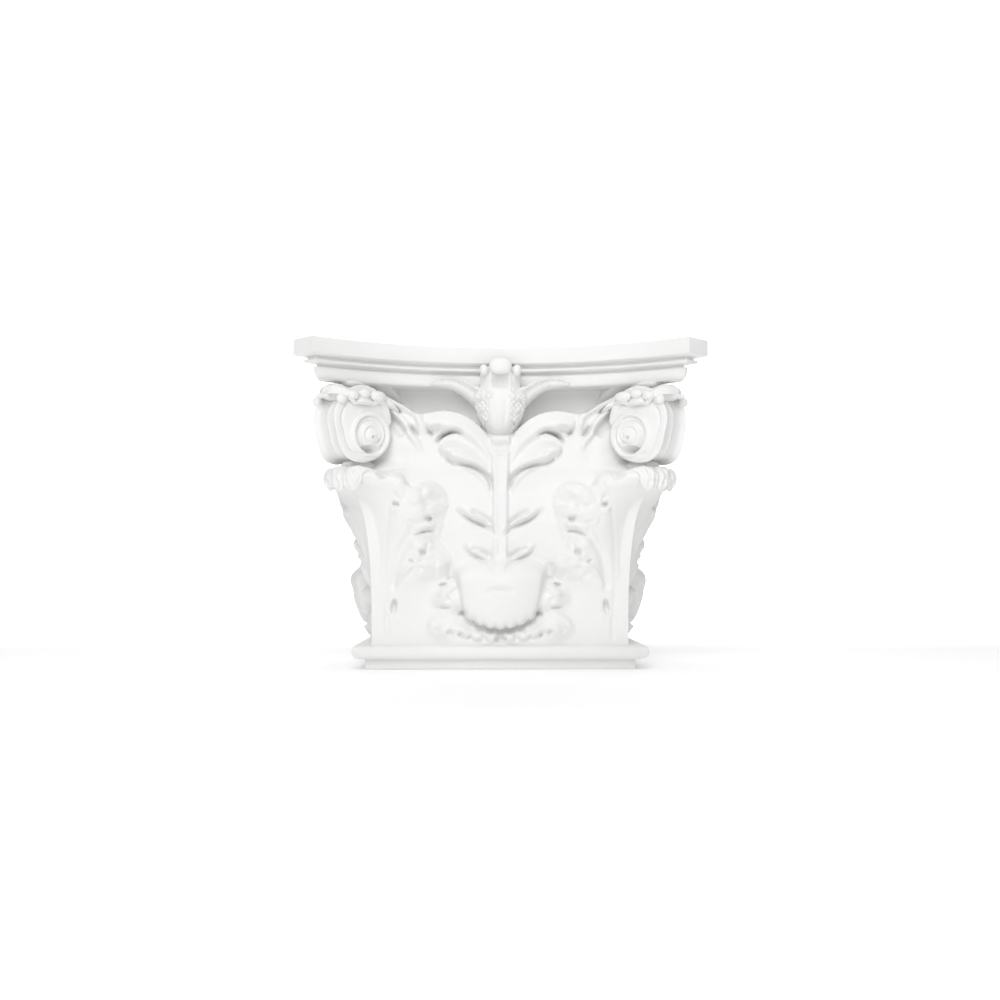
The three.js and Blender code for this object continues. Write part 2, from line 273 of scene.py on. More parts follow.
def corner_leaf(face, arris, plate):
    """Half of the tall leaf on the corner.

    The blade rises from the arris as one less an exponential of the 1.3rd power of the distance from it,
    and falls softly to the plate over its toothed free edge. It carries lobes, veins, undercuts and
    drilled holes.
    """
    side, up = face.side, face.up
    inward = np.maximum(arris - side, 0.0)
    blade = arris + through(BLADE_RISE, up) * (1.0 - np.exp(-((inward / 32.0) ** 1.3)))
    beside_arris = 2.0 * np.exp(-(((inward - 7.5) / 4.0) ** 2))
    blade = blade - beside_arris * ease(24.0, 50.0, up) * ease(200.0, 150.0, up)
    edge, crown = through(BLADE_EDGE, up), through(CROWN, side)
    edge = edge + 1.6 * np.abs(np.sin(np.pi * up / 10.3)) * ease(60.0, 90.0, up)
    step = 0.1 * ease(edge, edge + 3.0, side)
    share = step + (1.0 - step) * ease(edge, edge + 33.0, side)
    share = share * ease(crown + 1.2, crown - 1.2, up)
    face.out = face.out + np.maximum(blade - plate, 0.0) * share

    face.swell((71, 178), (15, 11), 4, -24)
    face.swell((68, 158), (12, 8), 3, -10)
    face.swell((78, 125), (13, 10), 4.5, 0)
    face.swell((61, 104), (13, 13.5), 5, 14)
    for line in (
        [(86, 176), (84, 183), (72, 188), (64, 184), (58.5, 179), (62, 173)],
        [(97.5, 189), (101, 183), (105.5, 177)],
        [(91, 122), (86, 128.5), (78.5, 131), (71, 129), (67, 123.5)],
        [(73, 110), (69, 115), (62, 116.5), (55, 113)],
        [(66, 166), (57.5, 164), (62, 156)],
    ):
        face.ridge(line, 2.4, 1.5)
    face.ridge([(106, 82), (102, 90), (97, 97), (91, 103.5), (84, 106)], 2.4, 3)
    for line, width, depth in (
        ([(84, 151), (91.5, 134), (99.5, 120), (104.5, 106), (107, 92), (108, 74)], 6, 5),
        ([(77, 183), (77.5, 176), (75, 168), (70, 162)], 5, 3.4),
        ([(64, 180), (70, 172), (80, 165), (92, 160)], 2.6, 2.2),
        ([(94, 187), (92, 178), (97, 168)], 4, 3),
        ([(101, 186), (108.5, 172), (112, 154), (115.5, 128), (116, 90), (114, 34)], 3.4, 1.5),
        ([(118.5, 150), (120.5, 130), (121, 100)], 3, 1.2),
        ([(115.5, 56), (114.5, 44), (114.5, 28)], 3.4, 2),
        ([(100, 154), (99, 146), (94, 141)], 2, 1.6),
        ([(52, 108), (50, 98), (49, 89)], 4.4, 4.5),
        ([(64, 111), (66, 101), (64, 91)], 2.6, 2.2),
        ([(92, 96), (88.5, 96), (83, 90)], 3.6, 2.4),
        ([(92, 166), (82, 162), (66, 165)], 2.4, 2.2),
        ([(94, 150), (84, 146), (66, 149)], 2.2, 2.4),
    ):
        face.groove(line, width, depth)

    for middle, radii, height, turn in (
        ((105.5, 159.8), (5, 4.2), 3, -14), ((71, 145.3), (6.5, 4), 4, 0), ((83, 114), (4, 3), 2, 30),
        ((74, 105.5), (3.6, 3.4), 2, 0), ((104, 50.5), (3.6, 4.4), 1, 0),
    ):
        face.knob(middle, radii, height, turn)
    for middle, radii, depth, turn in (
        ((104.4, 165.2), (3.8, 2.7), 9, 12), ((102.6, 171.5), (2.6, 4.6), 3.4, -18),
        ((71.8, 151.4), (3.8, 2.9), 8.5, 0), ((73.5, 158.6), (5, 1.6), 3, 0),
    ):
        face.eye(middle, radii, depth, turn)
    face.slit([(65, 138.6), (72, 139.2), (78, 137.8), (88, 132.6)], 2.8, 2, 11.5)
    for middle, radii, depth, turn in (
        ((77.6, 117.8), (3.8, 3.6), 8.5, 0), ((73.6, 123), (2.4, 4.6), 3, 24),
        ((89.6, 108.8), (2.8, 2), 6, 30), ((81, 109), (2.2, 1.8), 3.5, 0),
        ((79.8, 101.6), (2.4, 2.2), 3, 0), ((107.8, 63), (2.8, 8), 9, 11),
    ):
        face.eye(middle, radii, depth, turn)


def calyx(face, plate):
    """The stem with its collar, and the two great lobes that roll over beside it."""
    side, up = face.side, face.up
    second = [
        (5, 168, 3, 1), (10, 186, 6, 4), (20, 203, 9.5, 8), (33, 214.5, 12.5, 12), (44, 220.5, 12.8, 14),
        (51, 222.5, 10.5, 13),
    ]
    first = [
        (6, 200, 3, 2), (12, 218, 7, 5), (23, 234, 10, 8), (38, 244.5, 12.5, 10), (55, 249.5, 13, 11.5),
        (68, 250, 11, 11), (76, 248, 9, 9),
    ]
    face.roll(plate - 1.0, first, 0.0)
    face.roll(plate - 1.0, second, 0.6)
    under_second = [(6, 172), (8.6, 183), (13.4, 193), (25, 202), (38, 205.8), (50, 209.5), (59, 218)]
    face.slit(under_second, 6, 2.4, 18)
    face.slit([(37, 235.5), (46, 239.5), (54, 238), (60.5, 233.5), (64, 227.5)], 5, 1.8, 22)
    face.slit([(78.5, 250.5), (75.5, 245), (71.5, 239.5), (67.5, 233)], 3, 2.6, 9)
    face.eye((66.5, 241.5), (8.5, 4.2), 6, -22)
    face.groove([(63, 222), (60, 216), (52, 214.5)], 3, 3)
    face.eye((45.2, 217.2), (4.4, 1.7), 3.4, 12)
    face.eye((31, 213), (4.6, 1.5), 2, 20)

    width = through([(90, 4.4), (150, 4.8), (200, 5.6), (236, 6.4)], up)
    stem = ease(width + 3.0, width + 1.6, side) * ease(96.0, 108.0, up) * ease(233.0, 226.0, up)
    face.lay(stem, plate + 5.0 - 2.0 * np.clip(1.0 - (side / width) ** 2, 0.0, 1.0))
    beside_stem = 2.4 * np.exp(-(((side - width - 4.6) / 1.7) ** 2))
    face.out = face.out - beside_stem * ease(150.0, 172.0, up) * ease(232.0, 210.0, up)
    for height, reach, swell in ((231.8, 4.4, 9.5), (217.5, 2.2, 6.5)):
        bead = pillow((up - height) / reach) * ease(10.5, 8.6, side)
        face.out = np.maximum(face.out, (plate + swell * bead) * (bead > 0.0))
    face.out = face.out - 3.0 * ease(9.5, 8.0, side) * np.exp(-(((up - 224.0) / 3.4) ** 2))


def stalk(face):
    """The sheath that carries a scroll: two ridges with hollows between, and the dip behind them."""
    behind_scroll = 5.0 * ease(88.0, 104.0, face.side) * ease(192.0, 206.0, face.up)
    face.out = face.out + behind_scroll * ease(262.0, 246.0, face.up)
    face.groove([(97, 235), (104, 245), (112, 254), (120, 262)], 7.5, 10)
    for line in (
        [(76, 230), (79, 242), (84, 256), (97, 264.5), (113, 273.5), (126, 279)],
        [(79, 216), (84, 228), (91, 237), (96, 247), (103, 254.5), (113, 261), (126, 268)],
    ):
        face.ridge(line, 4, 7, 0.3)
    face.eye((106, 262.4), (7.5, 2.6), 8, 35)
    face.eye((88, 240.8), (8, 2.8), 10, 54)


# Where the lip of the middle leaf stands out at its middle, against height.
LIP = [
    (34, 151), (45, 153.5), (52, 156), (60, 159), (70, 162), (80, 164), (89, 165.8), (96, 164), (103, 157),
    (110, 148), (118, 139), (126, 133),
]


def middle_leaf(face, plate):
    """The low leaf: lobes at its foot and sides, and the broad scalloped lip that hangs over."""
    side, up = face.side, face.up
    foot = plate + 7.5 * ease(68.0, 44.0, side) * ease(60.0, 40.0, up)
    face.out = np.where((side < 70.0) & (up < 62.0), np.maximum(face.out, foot), face.out)
    face.swell((59, 45), (20, 17), 8, -30)
    face.swell((51, 71), (24, 20), 14, 22)
    face.swell((40, 41), (9, 7), 6, 0)
    for place, height in ((9.0, 35.0), (23.0, 36.0), (34.0, 39.0)):
        face.knob((place, height - 2), (6.5, 5), 6)
        face.eye((place + 6.8, height - 4), (2.4, 3), 3, 10)
    face.knob((12, 27), (7, 2.4), 2)
    face.eye((0.5, 30.5), (6, 3.2), 8)
    face.eye((50.6, 36.8), (2.6, 3.4), 6, -20)
    face.groove([(66, 36), (60, 42), (54, 44), (50, 50)], 3, 2.6)
    face.ridge([(71.5, 40), (68, 49), (59, 54.5), (50, 53)], 2.4, 2)
    face.eye((40, 35.2), (2.4, 2), 3)
    face.knob((54, 79.6), (10.5, 4.6), 5, -32)
    face.eye((58, 84.8), (4.6, 1.9), 9, -14)
    face.eye((50.8, 90.2), (4, 3), 5, -30)
    face.eye((51.7, 70.2), (3.6, 2.8), 4.5, 30)
    face.eye((57, 62.2), (7, 1.7), 7, 2)

    floor = plate - 1.0
    scallop = np.abs(np.sin(np.pi * (side + 5.4) / 10.8))
    brim = through(
        [(0, 41), (11, 42.5), (21, 45.5), (30, 50.5), (38, 57.5), (43.5, 68), (46.5, 86), (60, 120)], side
    )
    brim = brim - 3.0 * np.sqrt(scallop) + 1.5
    gap = ease(brim - 6.0, brim - 3.5, up) * ease(brim + 3.0, brim + 1.0, up) * ease(42.5, 37.0, side)
    face.lay(gap, np.minimum(floor, face.out))
    over = np.clip(up - brim, 0.0, None)
    lip = through(LIP, up)
    lip = lip - 0.0068 * side * side - 9.0 * np.exp(-over / 3.6) + 2.4 * scallop * np.exp(-over / 6.0)
    upper = through([(20, 118), (78, 118), (86, 52), (92, 48), (98, 43), (106, 36), (114, 28), (126, 10)], up)
    inside = ease(0.0, 1.2 + 50.0 * ease(34.0, 45.0, side), up - brim)
    inside = inside * ease(upper + 12.0, upper - 8.0, side) * ease(119.0, 104.0, up)
    face.lay(inside, soft_max(lip, face.out, 4.0) - 1.0)
    face.eye((38, 56.2), (5.6, 2.4), 7, -10)
    face.eye((42.8, 80), (2.6, 3.2), 4)
    face.swell((1, 79), (17, 6), -5)
    face.groove([(-11, 90.5), (-2, 91), (6, 91)], 1.8, 0.8)


def buds(face):
    """The two small pairs of buds low on the stem: a swelling over a slit, and a groove above it."""
    for low, high, bud in (
        (
            [(4, 131.5), (9, 139.5), (21, 145.6), (33, 151.8), (44.5, 161)],
            [(7, 145), (17, 153), (30.5, 159.8)],
            (28, 154.5),
        ),
        (
            [(5, 98), (10, 105), (22, 111.5), (31, 117), (37, 125)],
            [(7, 111.5), (18, 118), (30, 122)],
            (25.5, 117.5),
        ),
    ):
        face.swell(bud, (16, 7.5), 6, 30)
        face.slit(low, 6, 2.2, 14.5)
        face.groove(high, 3.2, 7.5)


def carved_face(side, up):
    """Height of the whole carved face over (side, up), side counted from the middle of the face."""
    face, arris, plate = blank(side, up)
    corner_leaf(face, arris, plate)
    stalk(face)
    calyx(face, plate)
    middle_leaf(face, plate)
    buds(face)
    join = ease(arris - 1.0, arris - 7.0, side)
    face.out = arris + (face.out - arris) * join
    return face


# ---- Meshes ----------------------------------------------------------------


def grid_faces(rows, columns, closed):
    """Quads of a grid of rows by columns, whose rows close on themselves when closed."""
    index = np.arange(rows * columns).reshape(rows, columns)
    if closed:
        index = np.hstack([index, index[:, :1]])
    quads = np.stack([index[:-1, :-1], index[:-1, 1:], index[1:, 1:], index[1:, :-1]], -1)
    return quads.reshape(-1, 4)


def fan_faces(ring, hub, flip):
    """Triangles, as quads with a doubled corner, from a ring of points to a hub."""
    after = np.roll(ring, -1)
    ring, after = (after, ring) if flip else (ring, after)
    return np.stack([ring, after, np.full_like(ring, hub), np.full_like(ring, hub)], 1)


def stacked(rings):
    """A closed solid from rings of points, counterclockwise as seen from the last, with fan caps."""
    rows, columns = rings.shape[:2]
    points = np.concatenate([rings.reshape(-1, 3), [rings[0].mean(0)], [rings[-1].mean(0)]])
    first, last = np.arange(columns), np.arange(columns) + (rows - 1) * columns
    caps = [fan_faces(first, rows * columns, True), fan_faces(last, rows * columns + 1, False)]
    return points, np.concatenate([grid_faces(rows, columns, True), *caps])


def outward(grid):
    """Unit normals of a grid of points: the cross product of its two directions."""
    normal = np.cross(np.gradient(grid, axis=1), np.gradient(grid, axis=0))
    return normal / np.maximum(np.linalg.norm(normal, axis=2, keepdims=True), 1e-9)


def leaf_solid(upper, lower):
    """A closed solid between two like grids: their rims are joined by a strip of quads."""
    rows, columns = upper.shape[:2]
    index = np.arange(rows * columns).reshape(rows, columns)
    rim = np.concatenate([index[0, :-1], index[:-1, -1], index[-1, :0:-1], index[:0:-1, 0]])
    after = np.roll(rim, -1)
    top = grid_faces(rows, columns, False)
    bottom = top[:, ::-1] + rows * columns
    wall = np.stack([after, rim, rim + rows * columns, after + rows * columns], 1)
    points = np.concatenate([upper.reshape(-1, 3), lower.reshape(-1, 3)])
    return points, np.concatenate([top, bottom, wall])


def turned(points, degrees):
    """Points turned about the axis."""
    cos, sin = math.cos(math.radians(degrees)), math.sin(math.radians(degrees))
    return points @ np.array([[cos, sin, 0.0], [-sin, cos, 0.0], [0.0, 0.0, 1.0]])


def other_hand(solid):
    """The mirror image of a solid across its middle plane, its faces turned to look out."""
    points, faces = solid
    return points * np.array([1.0, -1.0, 1.0]), faces[:, [1, 0, 3, 2]]


def four_times(solid, start):
    """Four copies of a solid about the axis, the first turned by start degrees."""
    points, faces = solid
    copies = [turned(points, start + 90.0 * k) for k in range(4)]
    return np.concatenate(copies), np.concatenate([faces + k * len(points) for k in range(4)])


def facing_out(solid):
    """A closed solid whose faces look out: six times its volume, summed over the faces, is above zero."""
    points, faces = solid
    first, second, third, fourth = points[faces].transpose(1, 0, 2)
    if np.sum(first * (np.cross(second, third) + np.cross(third, fourth))) < 0.0:
        faces = faces[:, [1, 0, 3, 2]]
    return points, faces


def together(solids):
    """Several solids that do not touch, as one set of points and faces."""
    solids = [facing_out(solid) for solid in solids]
    starts = np.cumsum([0] + [len(points) for points, _ in solids])
    faces = [solid[1] + start for solid, start in zip(solids, starts)]
    return np.concatenate([points for points, _ in solids]), np.concatenate(faces)


def put(name, solid):
    """A Blender object from points in millimetres and quads, doubled corners left out."""
    points, faces = solid
    mesh = bpy.data.meshes.new(name)
    three = faces[:, 2] == faces[:, 3]
    counts = np.where(three, 3, 4)
    keep = np.ones(faces.shape, bool)
    keep[three, 3] = False
    corners = faces[keep]
    mesh.vertices.add(len(points))
    mesh.vertices.foreach_set("co", (points * MM).astype(np.float32).ravel())
    mesh.loops.add(len(corners))
    mesh.loops.foreach_set("vertex_index", corners.astype(np.int32))
    mesh.polygons.add(len(faces))
    mesh.polygons.foreach_set("loop_start", np.concatenate([[0], np.cumsum(counts)[:-1]]).astype(np.int32))
    mesh.update(calc_edges=True)
    mesh.validate()
    thing = bpy.data.objects.new(name, mesh)
    bpy.context.scene.collection.objects.link(thing)
    return thing


# ---- Solids of the capital -------------------------------------------------


def bell(step):
    """The carved bell: rings of eight half faces, each point at (out, side) of carved_face."""
    rows = int((HEIGHT - 32.0 - 18.0) / step)
    columns = int(150.0 / step)
    up = np.linspace(18.0, HEIGHT - 32.0, rows)[:, None]
    share = np.linspace(0.0, 1.0, columns)[None, :]
    side = through(ARRIS, up) * share
    face = carved_face(side, np.broadcast_to(up, side.shape))
    face.soften(max(1, int(round(1.6 / step))))
    half = np.stack([face.out, face.side, face.up], -1)
    mirrored = half[:, :0:-1] * np.array([1.0, -1.0, 1.0])
    whole = np.concatenate([mirrored, half[:, :-1]], 1)
    return stacked(np.concatenate([turned(whole, 90.0 * k) for k in range(4)], 1))


def abacus_ring(inset, up, steps=36):
    """The plan of the abacus moved in by inset: four arcs of one radius joined by the cut horns."""
    half = WIDTH / 2.0
    horn = half - HORN_CUT
    radius = (horn**2 + ABACUS_DIP**2) / (2.0 * ABACUS_DIP)
    centre = half - ABACUS_DIP + radius
    arc = radius + inset
    gap = centre - (half + horn - inset * math.sqrt(2.0))
    reach = (math.sqrt(2.0 * arc**2 - gap**2) - gap) / 2.0
    side = np.linspace(-reach, reach, steps)
    points = np.stack([centre - np.sqrt(arc**2 - side**2), side, np.full(steps, up)], 1)
    return np.concatenate([turned(points, 90.0 * k) for k in range(4)])


def abacus():
    """The abacus: its plan at each (inset, depth below the top) of the moulding's profile."""
    profile = [
        (27, 39.5), (19.6, ABACUS_DEPTH), (17.8, 38.6), (16.6, 37.2), (15.8, 34.5), (15.2, 31), (15, 27.8),
        (15.5, 26.7), (17.2, 26.3), (17.5, 25.0), (17.2, 23.9), (8.6, 23.5), (7.9, 22.9), (7.6, 21.8),
        (7.9, 20.7), (8.6, 20.3), (10.2, 20.0), (10.5, 18.6), (10.2, 17.3), (1.6, 16.6), (0.5, 16.2),
        (0, 15.4), (0, 1.0), (0.3, 0.3), (1.0, 0),
    ]
    return stacked(np.stack([abacus_ring(inset, HEIGHT - depth) for inset, depth in profile]))


def square_ring(width, up, round_off=1.2, steps=5):
    """A square with its corners rounded by quarter circles."""
    angle = np.linspace(0.0, math.pi / 2.0, steps)
    middle = width / 2.0 - round_off
    quarter = round_off * np.stack([np.cos(angle), np.sin(angle)], 1)
    corner = np.column_stack([middle + quarter, np.full(steps, up)])
    return np.concatenate([turned(corner, 90.0 * k) for k in range(4)])


def neck():
    """The neck: a plain step, and a wider band whose underside draws in as a quarter round."""
    profile = [
        (-3, 0), (-1, 0.8), (0, 2.5), (0, NECK_STEP), (11, 10.8), (19, 12.2), (23, 14.5), (24.5, 17.5),
        (24.5, 20.5), (23.5, 23), (21, BAND_TOP), (-16, BAND_TOP + 0.5),
    ]
    return stacked(np.stack([square_ring(NECK_WIDTH + wider, up) for wider, up in profile]))


SCROLL_OUT, SCROLL_UP = 206.0, 236.0
SCROLL_REACH = 43.0
# Radius of the scroll's outline against quarter turns from facing the corner, downwards first.
WINDING = [
    (-1.8, 27), (-1.5, 34), (-1.25, 41), (-1, 46.5), (-0.7, 48.5), (-0.45, 46), (-0.3, 44.5), (-0.17, 42),
    (0, 38), (0.25, 37), (0.5, 36.5), (0.75, 32.5), (1, 28.5), (1.5, 25), (2, 24.2), (2.2, 24),
]
COIL_START = 1.45  # quarter turn at which the groove of the coil begins


def scroll():
    """A corner scroll, out from its eye in every direction of a turn.

    The outline winds inwards. Each side is half the thickness with a half-round ring around a dome, a
    groove that coils in on the dome as a falling power of its lap, a small hole, and a fine groove along
    the outline. The rim between the sides is a channel with an edge to each hand.
    """
    start = WINDING[0][0]
    turn = np.linspace(start, start + 4.0, 201)[:-1, None]
    inner_end = through(WINDING, np.array([start + 4.0]))
    outline = inner_end + (through(WINDING, turn) - inner_end) * ease(0.0, 0.12, turn - start)
    share = np.concatenate([np.linspace(0.02, 0.965, 92), [0.985, 1.0]])[None, :]
    rho = outline * share
    angle = turn * math.pi / 2.0
    out = SCROLL_OUT + rho * np.cos(angle)
    up = SCROLL_UP - rho * np.sin(angle)

    ring = np.hypot(out - SCROLL_OUT + 0.4, up - SCROLL_UP + 1.6)
    relief = 1.8 * pillow((ring - 20.6) / 2.6) - 3.0 * ease(19.4, 17.6, ring)
    relief = relief + 6.5 * pillow(ring / 18.5) ** 1.5
    lap = np.mod(COIL_START - turn, 4.0) / 4.0
    for lapped in (0.0, 1.0):
        coil = 18.0 * 0.56 ** (lap + lapped)
        shrink = 0.62 ** (lap + lapped)
        begun = ease(0.0, 0.06, lap + lapped)
        relief = relief - 5.0 * shrink * begun * np.exp(-(((ring - coil) / (2.6 * shrink)) ** 2))
    below_eye = oval(out, up, (SCROLL_OUT + 0.6, SCROLL_UP - 16.2), (8.4, 4.2))
    hole = oval(out, up, (SCROLL_OUT, SCROLL_UP - 4.6), (2.4, 1.9))
    relief = relief - 9.0 * np.clip(1.0 - below_eye**2, 0.0, 1.0) - 4.0 * np.clip(1.0 - hole**2, 0.0, 1.0)
    near_edge = np.exp(-(((outline - rho - 9.0) / 1.3) ** 2)) * ease(1.5, 0.8, np.abs(turn + 0.1))
    relief = relief - 1.8 * near_edge - 1.0 * ease(0.9, 0.0, outline - rho)
    half = 17.0 + (SCROLL_OUT + SCROLL_REACH - out) * 0.12 + 3.0 * ease(30.0, 10.0, rho) + relief
    edge = half[:, -1:]

    across = np.cos(np.linspace(0.0, math.pi, 27))[None, 1:-1]
    drum = 5.5 * (1.0 - across**8) - 1.2 * np.exp(-((across / 0.1) ** 2))
    rim_rho = outline - drum
    rim = np.stack([
        SCROLL_OUT + rim_rho * np.cos(angle), edge * across, SCROLL_UP - rim_rho * np.sin(angle)
    ], -1)
    near = np.stack([out, half, up], -1)
    far = near * np.array([1.0, -1.0, 1.0])
    profile = np.concatenate([near, rim, far[:, ::-1]], 1)
    return stacked(profile.transpose(1, 0, 2))


def scroll_leaf(rows=100, columns=65):
    """The leaf over a scroll: a ridge line with a sagging parabola across, its edge in scallops.

    Along it the half width swings between lobes and notches, and each lobe swells as a half round.
    """
    v = np.linspace(0.0, 1.0, rows)[:, None]
    u = np.linspace(-1.0, 1.0, columns)[None, :]
    out = 146.0 + 102.0 * v
    lobes = np.sqrt(np.abs(np.sin(math.pi * (out - 184.5) / 20.5)))
    outer = ease(247.0, 240.0, out)
    half = through(
        [(146, 16), (166, 24), (185, 28), (215, 29), (233, 25), (241, 17), (246, 9), (248, 3)], out
    )
    half = half * (1.0 - 0.16 * (1.0 - lobes) * outer)
    crest = through(
        [(146, 259), (165, 269.5), (180, 276.5), (196, 281), (214, 283.5), (232, 284.5), (240, 284),
         (245, 281), (248, 277)],
        out,
    )
    sag = through([(146, 8), (170, 11), (195, 13), (215, 19), (234, 16), (248, 6)], out)
    up = crest - sag * np.abs(u) ** 2.0
    up = up + 5.0 * lobes * np.exp(-(((np.abs(u) - 0.8) / 0.2) ** 2)) * outer - 1.5 * outer
    up = up - 2.6 * np.exp(-(((np.abs(u) - 0.46) / 0.13) ** 2)) + 1.2 * np.exp(-((u / 0.12) ** 2))
    upper = np.stack([np.broadcast_to(out, up.shape), half * u, up], -1)
    normal = outward(upper)
    normal = normal * np.sign(normal[:, :, 2:3].mean())
    lower = upper - normal * (4.5 + 3.0 * (1.0 - u[..., None] ** 2))
    return leaf_solid(upper, lower)


def leaf_tip(rows=72, columns=97):
    """The rolled tip of a corner leaf: a curled line carried across, with broad lobes and small pits.

    Lobes follow the root of the absolute cosine of the place across. They swell out along the normal
    with a fine cosine pleat and lumps, and the lower edge reaches further where a lobe is. Each pit is a
    bell-shaped dent.
    """
    u = np.linspace(-1.0, 1.0, columns)[None, :]
    v = np.linspace(0.0, 1.0, rows)[:, None]
    lobe = np.abs(np.cos(1.55 * math.pi * u)) ** 0.5
    reach = v * (1.0 - 0.1 * (1.0 - lobe) - 0.06 * u**2)
    roll = np.array([
        (0.0, 192, 184), (0.14, 201, 193), (0.3, 211, 199), (0.44, 220.5, 201.5), (0.58, 228.5, 200),
        (0.72, 232.5, 194), (0.86, 231.5, 186.5), (1.0, 226.5, 178),
    ])
    out = through(roll[:, [0, 1]], reach) - 11.0 * np.abs(u) ** 2.2
    up = through(roll[:, [0, 2]], reach) - 2.0 * u**2
    half = through([(0, 26), (0.3, 29.5), (0.6, 30), (0.85, 28.5), (1, 26)], v)
    sheet = np.stack([out, half * u, up], -1)
    normal = outward(sheet)
    normal = normal * np.sign(normal[rows // 2, columns // 2, 0])
    pleat = 0.45 * np.cos(10.0 * math.pi * u) * ease(0.5, 0.7, v)
    pits = 0.0
    for across, along, wide in (
        (0.33, 0.62, 0.055), (0.68, 0.72, 0.05), (0.12, 0.84, 0.04), (0.5, 0.88, 0.045),
    ):
        pits = pits + np.exp(-(((np.abs(u) - across) / wide) ** 2 + ((v - along) / 0.05) ** 2))
    lumps = 0.7 * np.cos(7.0 * math.pi * u) * np.cos(9.0 * math.pi * v)
    swell = 4.6 * lobe - 2.4 + pleat + lumps - 3.2 * pits
    swell = swell * ease(0.34, 0.54, v) * (1.0 - 0.4 * ease(0.85, 1.0, v))
    upper = sheet + normal * swell[..., None]
    lower = sheet - normal * (5.0 + 2.0 * (1.0 - v[..., None]))
    return leaf_solid(upper, lower)


def flower(rows=84, columns=65):
    """The flower: a swelling cup, a tier of turned-out tips, and two lobes beside a hollow above.

    Its front is a curve of height; across, it falls off with the 2.4th power of the place. Its flanks
    are roughened by a product of cosines and three small holes.
    """
    v = np.linspace(0.0, 1.0, rows)[:, None]
    u = np.linspace(-1.0, 1.0, columns)[None, :]
    up = 233.0 + 73.5 * v + 0.0 * u
    half = through(
        [(233, 8), (237, 12), (242, 16), (250, 20), (258, 23.5), (267, 26), (275, 27.5), (280, 26),
         (284, 22), (293, 20.5), (303, 19.5), (307, 16)],
        up,
    )
    front = through(
        [(233, 126), (240, 134), (249, 141), (260, 147), (271, 150), (282, 149), (290, 149.5), (299, 151),
         (307, 149)],
        up,
    )
    side = half * u
    away = np.abs(side)
    out = front - 16.0 * np.abs(u) ** 2.4
    out = out + 5.0 * np.exp(-(((up - 277.5 + 0.12 * away) / 3.6) ** 2)) * ease(6.0, 13.0, away)
    out = out + 1.5 * np.abs(np.cos(2.5 * math.pi * u)) * ease(284.0, 270.0, up) * ease(236.0, 252.0, up)
    out = out + 1.7 * np.cos(1.3 * away) * np.cos(1.05 * up) * ease(7.0, 13.0, away) * ease(286.0, 280.0, up)
    out = out - 12.0 * np.clip(1.0 - (side / 9.5) ** 2, 0.0, 1.0) * ease(282.0, 289.0, up)
    out = out - 2.0 * np.exp(-(((away - 12.5) / 1.6) ** 2)) * ease(288.0, 298.0, up)
    for place, radii in (((20, 270.5), (2.8, 2.2)), ((19, 259), (2.4, 2.6)), ((14, 249), (2.4, 2.2))):
        out = out - 3.5 * np.clip(1.0 - oval(away, up, place, radii), 0.0, 1.0)
    upper = np.stack([out, side, up], -1)
    lower = upper * np.array([0.0, 1.0, 1.0]) + np.array([100.0, 0.0, 0.0])
    return leaf_solid(upper, lower)


def ball(middle, radii, squareness=1.0, rows=24, columns=36):
    """An ellipsoid from its lowest point to its highest; under 1, squareness makes it boxier."""
    tilt = np.linspace(-0.5 * math.pi + 0.06, 0.5 * math.pi - 0.06, rows)[:, None]
    turn = np.linspace(0.0, 2.0 * math.pi, columns, endpoint=False)[None, :]
    unit = np.stack([np.cos(tilt) * np.cos(turn), np.cos(tilt) * np.sin(turn), np.sin(tilt) + 0.0 * turn], -1)
    unit = np.sign(unit) * np.abs(unit) ** squareness
    return stacked(np.asarray(middle) + unit * np.asarray(radii))


def wing(rows=64, columns=33):
    """A leaf beside the flower: a finely notched bead along its upper edge, over a face that draws back."""
    v = np.linspace(0.0, 1.0, rows)[:, None]
    w = np.linspace(-1.0, 1.0, columns)[None, :]
    side = 16.0 + 55.0 * v + 0.0 * w
    middle = through(
        [(16, 268), (22, 273), (29.5, 279.5), (37, 284.8), (44, 288.3), (50, 290.3), (58, 290.5), (71, 289)],
        side,
    )
    half = through(
        [(16, 18), (22, 13.5), (29.5, 9.8), (37, 7.6), (44, 6.2), (50, 5.4), (58, 4.4), (66, 2.4), (71, 0.8)],
        side,
    )
    half = half * (1.0 - 0.12 * np.abs(np.sin(side * 0.42)))
    out = through([(16, 131), (24, 136), (34, 137.5), (50, 137), (62, 138), (71, 136)], side)
    section = through(
        [(-1, -13), (-0.6, -8), (-0.2, -5), (0.2, -4.2), (0.5, -2), (0.72, 2.5), (0.86, 3.2), (1, 1)], w
    )
    out = out + section * np.minimum(half / 8.0, 1.0) + 0.9 * np.sin(1.1 * side) * ease(0.1, 0.8, w)
    upper = np.stack([out, side, middle + half * w], -1)
    lower = upper - np.array([18.0, 0.0, 0.0])
    return leaf_solid(upper, lower)


def both(solid):
    """A solid and its mirror image."""
    return [solid, other_hand(solid)]


def beads():
    """Rounded parts: the flower's bud and curls, the scroll leaf's tip and beads, the leaf tip's core."""
    bud = ball((148, 0, 305.6), (8.5, 11.6, 8.4), 0.75)
    on_faces = [bud, *both(ball((147, 16.8, 301.5), (6.5, 4.4, 5.6)))]
    on_corners = [ball((234, 0, 276), (13, 17, 8.5)), ball((211, 0, 190.5), (15.5, 30, 9.5))]
    for middle, radii in (((199.5, 26.5, 272.5), (10, 5.5, 5.5)), ((229, 24, 271.5), (6.5, 5, 4.5))):
        on_corners += both(ball(middle, radii))
    faces = [four_times(solid, 0.0) for solid in on_faces]
    return faces + [four_times(solid, 45.0) for solid in on_corners]


